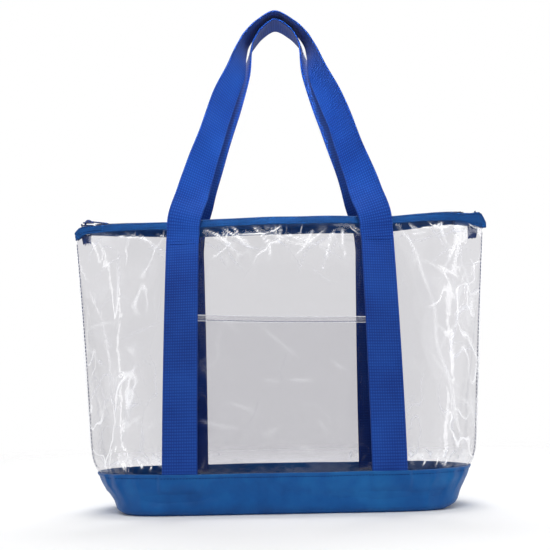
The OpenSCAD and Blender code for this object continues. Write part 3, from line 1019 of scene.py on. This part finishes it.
def half_zip(side, end):
    """A quarter of the mouth: cloth, tape and coil from the middle of the zip to one end of it."""
    word = FACE_WORD[side]
    tag = f"{word}_{END_WORD[end]}"
    cloth = zip_strip(f"zip_cloth_{tag}", side, end, CLOTH_REACH, lambda v: mouth(v) - 2.6 * MM, 12.5 * MM,
                      -0.3 * MM, 0.3 * MM, BAND, 71 + side, 0.8 * MM)
    tape = zip_strip(f"zip_tape_{tag}", side, end, COIL_REACH, lambda v: min(14 * MM, mouth(v) - 2.4 * MM),
                     2.2 * MM, 0.5 * MM, 1.0 * MM, TAPE, 77 + side, 0.25 * MM)
    teeth = coil(f"zip_coil_{tag}", side, end)
    kinds = ((cloth, "blue_cloth", "panel"), (tape, "zip_tape", "tape"), (teeth, "zip_coil", "coil"))
    for piece, slot_name, node in kinds:
        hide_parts(f"{word}_zip_{node}")
        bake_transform(piece)
    return cloth, tape


zip_strips = [half_zip(side, end) for side in FACES for end in ENDS]


def flat_plate(name, outline, low_z, high_z):
    """A flat metal plate with an outline of (x, y)."""
    rings = np.array([[(x, y, z) for x, y in outline] for z in (low_z, high_z)])
    return loft(name, rings, METAL)


def rounded(obj, width, segments):
    """The same object with its sharp edges rounded."""
    edge = obj.modifiers.new("edge", "BEVEL")
    edge.width = width
    edge.segments = segments
    edge.limit_method = "ANGLE"
    edge.angle_limit = math.radians(50)
    depsgraph = bpy.context.evaluated_depsgraph_get()
    mesh = bpy.data.meshes.new_from_object(obj.evaluated_get(depsgraph))
    obj.modifiers.clear()
    obj.data = mesh
    return obj


SLIDER_X = (slider_lo.x + slider_hi.x) / 2
SLIDER_SINK = 1.2 * MM
SLIDER_L = 13 * MM
SLIDER_W = 9 * MM
PLATE_T = 0.8 * MM
PULL_LEAN = 0.14
PULL_T = 1.1 * MM


def slider_outline():
    """A slider plate seen from above: broad where the zip is open, waisted where it is closed."""
    points = []
    for c, s in around(48):
        x = squarer(c, 0.7) * SLIDER_L / 2
        waist = 0.82 + 0.18 * smooth((0.5 - x / SLIDER_L) * 1.4)
        points.append((SLIDER_X + x, squarer(s, 0.7) * SLIDER_W / 2 * waist))
    return points


def slider():
    """Two plates, the neck that joins them and the arch that holds the pull."""
    low_z = slider_lo.z - SLIDER_SINK
    parts = []
    for z in (low_z, low_z + 3.4 * MM):
        parts.append(rounded(flat_plate("plate", slider_outline(), z, z + PLATE_T), 0.25 * MM, 3))
    neck = [(SLIDER_X + (1.2 * c - 3.5) * MM, 1.2 * MM * s) for c, s in around(16)]
    parts.append(flat_plate("neck", neck, low_z + 0.5 * MM, low_z + 3.7 * MM))
    arch = [(SLIDER_X + 3.2 * MM * c, 0, low_z + (4.4 + 2.4 * s) * MM)
            for c, s in arc(math.radians(-8), math.radians(188), 21)]
    parts.append(tube("arch", arch, 0.9 * MM, 12, METAL))
    return join("slider_body", parts)


def pull_tab():
    """A tab with a rounded end, a grip hole and a fork round the slider's arch."""
    pin = Vector((SLIDER_X, 0, (pull_lo.z + pull_hi.z) / 2 - SLIDER_SINK))
    scale = (pull_hi.x - SLIDER_X) / 24
    outer = [(1.6, -3.1), (4.0, -2.4), (8.0, -2.1), (14.0, -3.0)]
    outer += [(20.5 + 3.4 * c, 3.4 * s) for c, s in arc(-1.9, 1.9, 15)]
    outer += [(14.0, 3.0), (8.0, 2.1), (4.0, 2.4), (1.6, 3.1)]
    hole = [(20.5 + 1.4 * c, 1.4 * s) for c, s in arc(-math.pi * 0.98, math.pi * 0.98, 24)]
    bm = bmesh.new()
    faces = []
    for z in (-PULL_T / 2, PULL_T / 2):
        rings = [[bm.verts.new(pin + Vector((x * scale, y * scale, z))) for x, y in line]
                 for line in (outer, hole)]
        edges = [bm.edges.new((a, b)) for ring in rings for a, b in zip(ring, ring[1:] + ring[:1])]
        bmesh.ops.triangle_fill(bm, edges=edges, use_beauty=True)
        faces.append(rings)
    for low_ring, high_ring in zip(*faces):
        for k in range(len(low_ring)):
            bm.faces.new((low_ring[k - 1], low_ring[k], high_ring[k], high_ring[k - 1]))
    bmesh.ops.recalc_face_normals(bm, faces=bm.faces)
    plate = new_object("pull_plate", [], [], METAL)
    bm.to_mesh(plate.data)
    bm.free()
    rounded(plate, 0.2 * MM, 2)
    open_ring = arc(math.radians(60), math.radians(300), 19)
    ring = [pin + MM * Vector((1.2 + 2.6 * c, 3.0 * s, 0)) for c, s in open_ring]
    tab = join("pull_tab", [plate, tube("fork", ring, 0.6 * MM, 8, METAL)])
    for vertex in tab.data.vertices:
        vertex.co.z -= PULL_LEAN * max(0.0, vertex.co.x - pin.x)
    return tab


def stops():
    """A bent wire round the zip at each end of the slider's way."""
    parts = []
    for x in (stop_lo.x + 0.6 * MM, stop_hi.x - 0.6 * MM):
        bent = arc(0.2, 2 * math.pi - 0.2, 24)
        ring = [(x, 3.0 * MM * c, crown(0.0, x) + (0.8 + 1.2 * s) * MM) for c, s in bent]
        parts.append(tube("stop", ring, 0.6 * MM, 8, METAL))
    return join("stops", parts)


sewn(slider(), "zip_metal", "zip_slider", body="slider")
sewn(pull_tab(), "zip_metal", "zip_pull", body="pull")
sewn(stops(), "zip_metal", "zip_stops")


# ---------------------------------------------------------------- folded ends and tape tails

# Outlines of the folded ends seen from the front, in millimetres: distance from the middle, low edge
# and high edge, both measured from the film's height.
END_OUTLINE = {
    LEFT: [(208.0, -7.2, 0.8), (214.0, -7.8, 0.8), (221.0, -8.4, 0.7), (228.0, -8.8, 0.5),
           (234.0, -9.0, 0.2), (238.5, -9.2, -1.4), (241.5, -9.4, -4.2), (243.6, -9.2, -7.0)],
    RIGHT: [(208.0, -4.6, 6.6), (214.0, -5.6, 7.0), (221.0, -6.8, 7.8), (228.0, -7.8, 8.6),
            (234.0, -8.6, 9.6), (238.0, -9.2, 9.4), (241.5, -9.6, 7.0), (244.0, -9.8, 2.2),
            (246.0, -9.4, -3.0)],
}
GAP_FLOOR = FILM_Z + 0.2 * MM
GAP_END = 240 * MM
FRAY = {LEFT: 5.0 * MM, RIGHT: 1.6 * MM}


def end_section(end, x):
    """Low edge, high edge and half depth of a folded end at a distance from the middle."""
    places, *edges = np.array(END_OUTLINE[end]).T * MM
    low_z, high_z = [np.interp(x, places, edge) + FILM_Z for edge in edges]
    pinch = 1 - 0.55 * smooth((x - TOP_HALF + 4 * MM) / (6 * MM))
    return low_z, high_z, (mouth(min(x, TOP_HALF - 0.5 * MM)) + 1.9 * MM) * pinch


def zip_end(end):
    """The band folded over one top corner; at the right its top stays open for the slider."""
    rings = []
    for x in np.linspace(END_OUTLINE[end][0][0], END_OUTLINE[end][-1][0], 34) * MM:
        low_z, high_z, half = end_section(end, x)
        crease = 0.5 * MM * noise.noise(Vector((x * 120, end * 4.0, 0)))
        section = []
        for c, s in around(44):
            cy, cz = squarer(c, 0.45), squarer(s, 0.55)
            dent = 0.35 * MM * math.exp(-((abs(cz) - 0.62) / 0.12) ** 2)
            y = cy * (half - dent) + crease * (1 - abs(cy))
            z = (low_z + high_z) / 2 + cz * (high_z - low_z) / 2 + crease * 0.6
            if end == RIGHT:
                gap = smooth((half - 1.3 * MM - abs(y)) / (0.8 * MM)) * smooth((GAP_END - x) / (3 * MM))
                z -= gap * max(0.0, z - GAP_FLOOR)
            section.append((end * x, y, z))
        rings.append(section)
    return loft(f"corner_{END_WORD[end]}", np.array(rings), BAND, flip=end == RIGHT)


def end_stitches(end):
    """Two rows of stitches along each face of a folded end."""
    xs = spaced(210 * MM, (END_OUTLINE[end][-1][0] - 4) * MM, 3.2 * MM)
    places = []
    for face in FACES:
        for row in (0.19, 0.81):
            line = []
            for x in xs:
                low_z, high_z, half = end_section(end, x)
                line.append(Vector((end * x, face * (half + 0.05 * MM), low_z + (high_z - low_z) * row)))
            places += [((a + b) / 2, b - a, (0, face, 0)) for a, b in zip(line, line[1:])]
    return places


def tail(end):
    """The cut end of the tape inside the corner, its threads frayed."""
    lo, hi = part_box(f"zip_tail_{END_WORD[end]}")
    rng = random.Random(3 if end == LEFT else 4)
    u, t = np.meshgrid(np.linspace(0, 1, 25), np.linspace(0, 1, 17))
    fray = np.array([rng.uniform(0, FRAY[end]) for _ in u[0]])
    x = (lo.x + hi.x) / 2 + (u - 0.5) * 13 * MM * (1 - 0.25 * t) - end * 2 * MM * t
    z = hi.z - 3 * MM - (hi.z - lo.z - fray) * t
    grid = np.stack([x, 0.8 * MM * np.sin(2.2 * t + 3 * u) * t, z], -1)
    return slab(f"tail_{END_WORD[end]}", grid, grid + [0, 0.5 * MM, 0], TAPE, flip=True)


corners, tails = [], []
for end in ENDS:
    word = END_WORD[end]
    corners.append(sewn(zip_end(end), "blue_cloth", f"zip_end_{word}"))
    stitches(f"stitches_corner_{word}", end_stitches(end), radius=0.24 * MM)
    tails.append(sewn(tail(end), "zip_tape", f"zip_tail_{word}"))


# ---------------------------------------------------------------- straps that go on as the carrying loops

# The left half of each loop, from where it leaves the band to its top, chosen to follow the
# photograph: x, y, z in millimetres and how far the webbing is turned, in degrees.
LEAVING = [(-111.2, -36.2, 312, -5), (-110.5, -39, 322, -4), (-108.5, -40.5, 332, 1),
           (-105.5, -38.5, 342, 8)]
ROUTE = {
    FRONT: [*LEAVING, (-101, -33.5, 356, 16), (-94.5, -28, 380, 28), (-78.5, -24, 431, 42),
            (-63.2, -19, 477, 46), (-49, -14, 512, 58), (-41.2, -9, 541, 77), (-35.2, -6.5, 557, 84),
            (-22, -4.5, 573, 88), (0, -4, 585, 90)],
    BACK: [*LEAVING, (-99.5, -33.5, 356, 16), (-91, -28, 380, 28), (-72, -24, 431, 42),
           (-55, -19, 477, 46), (-41, -14, 512, 60), (-32.5, -9, 541, 79), (-28, -6.5, 554, 84),
           (-17, -4.5, 568.5, 88), (0, -4, 578.5, 90)],
}
# The webbing's section in half widths and half thicknesses, thickest near its edges: a part of its top,
# the whole top, and all of it.
WEBBING_EDGE = [(1, 0.35), (0.985, 0.8), (0.93, 1.08), (0.8, 1.0), (0.4, 0.92)]
WEBBING_TOP = [(-a, b) for a, b in WEBBING_EDGE] + [(0, 0.9)] + WEBBING_EDGE[::-1]
WEBBING_SECTION = WEBBING_TOP + [(a, -b) for a, b in reversed(WEBBING_TOP)]
CUPPING = 1.1 * MM


def strap_keys(route):
    """x, y, z and turn from the base rim, up the face and round to the top of the loop."""
    keys = []
    for z in np.linspace(STRAP_FOOT, STRAP_LEAVES, 17):
        lift = STRAP_LIFT + WEBBING_T / 2 - 1.0 * MM * smooth((RIM_Z + 6 * MM - z) / (12 * MM))
        outer, middle, inner = skin_at([-STRAP_X - WEBBING_W / 2, -STRAP_X, -STRAP_EDGE], z, lift)
        slope = math.degrees(math.atan2(inner[1] - outer[1], WEBBING_W))
        keys.append((middle[0], middle[1], z - droop(-STRAP_X, z), slope))
    return keys + [(x * MM, y * MM, z * MM, turn) for x, y, z, turn in route]


def spline(points, steps):
    """Catmull-Rom through the points, steps to each stretch."""
    p = np.array(points, float)
    out = []
    for k in range(len(p) - 1):
        a, b, c, d = p[max(k - 1, 0)], p[k], p[k + 1], p[min(k + 2, len(p) - 1)]
        for i in range(steps):
            t = i / steps
            bend = (2 * a - 5 * b + 4 * c - d) * t * t + (3 * b - a - 3 * c + d) * t ** 3
            out.append(0.5 * (2 * b + (c - a) * t + bend))
    out.append(p[-1])
    return np.array(out)


def webbing_loop(side, seed):
    """One length of webbing: up one side of a face, round the loop and down the other side."""
    half = strap_keys(ROUTE[side])
    mirrored = [(-x, y, z, 180 - turn) for x, y, z, turn in half[-2::-1]]
    line = spline(half + mirrored, 7)
    centre = line[:, :3]
    length = np.concatenate([[0], np.cumsum(np.linalg.norm(np.diff(centre, axis=0), axis=1))])
    lifted = smooth((centre[:, 2] - FILM_Z - 20 * MM) / (60 * MM))
    wander = line_noise(length, 9, seed)
    flutter = line_noise(length, 22, seed, 5)
    turn = np.radians(line[:, 3] + lifted * 7 * wander)
    centre = centre + np.stack([lifted * 1.2 * MM * flutter, lifted * 1.0 * MM * wander, 0 * wander], -1)
    along = np.gradient(centre, axis=0)
    along /= np.linalg.norm(along, axis=1, keepdims=True)
    flat = np.stack([np.cos(turn), np.sin(turn), 0 * turn], -1)
    across = flat - (flat * along).sum(1, keepdims=True) * along
    across /= np.linalg.norm(across, axis=1, keepdims=True)
    outward = np.cross(along, across)
    rings, uv = [], []
    for c, w, n, v, free in zip(centre, across, outward, length, lifted):
        cupped = [(a * WEBBING_W / 2, b * WEBBING_T / 2 - free * CUPPING * (a * a - 0.4))
                  for a, b in WEBBING_SECTION]
        rings.append([c + w * wide + n * thick for wide, thick in cupped])
        uv.append([(wide, v) for wide, _ in cupped])
    rings = np.array(rings) * [1, -side, 1]
    word = FACE_WORD[side]
    piece = loft(f"webbing_{word}", rings, WEBBING, np.array(uv), flip=side == FRONT)
    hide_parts(f"{word}_strap_left", f"{word}_strap_right", f"{word}_handle")
    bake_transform(piece)
    return piece


loops = {FRONT: webbing_loop(FRONT, 1.3), BACK: webbing_loop(BACK, 4.7)}


# ---------------------------------------------------------------- floor, light and camera

def area_light(name, place, aim, size, power):
    """A rectangular lamp pointed at a place; size is its width and height, power is in watts."""
    light = bpy.data.lights.new(name, "AREA")
    light.shape = "RECTANGLE"
    light.size, light.size_y = size
    light.energy = power
    obj = bpy.data.objects.new(name, light)
    obj.location = place
    obj.rotation_euler = (Vector(aim) - Vector(place)).to_track_quat("-Z", "Y").to_euler()
    bpy.context.scene.collection.objects.link(obj)
    return obj


def floor_plane():
    """A pale floor that fades into the white surround."""
    look = Look("floor")
    coords = look.coords()
    look.tones(look.noise(coords, 3, 2), (0.3, (0.93, 0.93, 0.93)), (0.7, (0.95, 0.95, 0.95)))
    look.feed_all(look.shader, {"Roughness": 0.8, "Specular IOR Level": 0.1})
    distance = look.node("VectorMath", operation="LENGTH")
    look.feed(distance.inputs[0], coords)
    clear = look.node("BsdfTransparent").outputs[0]
    look.surface(look.mix(look.ease(distance.outputs["Value"], 0.45, 1.6), look.shader.outputs[0], clear))
    corners = [(-6, -6, 0), (6, -6, 0), (6, 6, 0), (-6, 6, 0)]
    floor = new_object("floor", corners, [(0, 1, 2, 3)], look.material, smooth=False)
    floor.location.z = -0.4 * MM


def studio():
    """A white surround that lights the bag from behind more than from the front, and area lights."""
    world = bpy.data.worlds.new("studio")
    bpy.context.scene.world = world
    world.use_nodes = True
    sky = Nodes(world.node_tree)
    seen = sky.nodes["Background"]
    sky.feed(seen.inputs["Color"], (1, 1, 1, 1))
    room = sky.node("MapRange")
    sky.feed_all(room, {"Value": sky.split(sky.coords("Generated"))[1], "From Min": -0.75, "From Max": 0.35,
                        "To Min": 0.05, "To Max": 1.0})
    lit = sky.node("Background")
    sky.feed(lit.inputs["Strength"], room.outputs["Result"])
    at_camera = sky.node("LightPath").outputs["Is Camera Ray"]
    surround = sky.mix(at_camera, lit.outputs[0], seen.outputs[0])
    sky.feed(sky.nodes["World Output"].inputs["Surface"], surround)
    middle = (0, 0, 0.28)
    area_light("key", (-0.1, -1.05, 1.75), middle, (1.5, 0.7), 15)
    area_light("strip_left", (-1.5, -0.95, 0.45), middle, (0.10, 1.3), 3.2)
    area_light("strip_right", (1.5, -0.8, 0.45), middle, (0.14, 1.3), 4)
    area_light("back_key", (0.1, 1.1, 1.7), middle, (1.4, 0.7), 18)
    fill = area_light("fill", (0, -1.6, 0.35), (0, 0, 0.2), (1.2, 0.8), 6.5)
    high = area_light("high", (0, -1.2, 0.95), (0, 0, 0.53), (0.4, 0.2), 0.9)
    high.data.spread = math.radians(24)
    for light in (fill, high):
        light.visible_glossy = False
    bpy.context.scene.view_settings.view_transform = "Standard"


def camera():
    """The camera fitted to the photograph: its place, its turns in radians and its lens in millimetres."""
    place = Vector((-8.5, -1059, 119.1)) * MM
    pitch, yaw, roll = 0.138, 0.002, -0.019
    right = Vector((math.cos(yaw), -math.sin(yaw), 0))
    ahead = Vector((math.sin(yaw) * math.cos(pitch), math.cos(yaw) * math.cos(pitch), math.sin(pitch)))
    above = right.cross(ahead)
    across = math.cos(roll) * right + math.sin(roll) * above
    upward = -math.sin(roll) * right + math.cos(roll) * above
    data = bpy.data.cameras.new("camera")
    data.sensor_width = 36
    data.lens = 59.2
    obj = bpy.data.objects.new("camera", data)
    axes = Matrix((across, upward, -ahead)).transposed().to_4x4()
    axes.translation = place
    obj.matrix_world = axes
    bpy.context.scene.collection.objects.link(obj)
    bpy.context.scene.camera = obj


floor_plane()
studio()
camera()
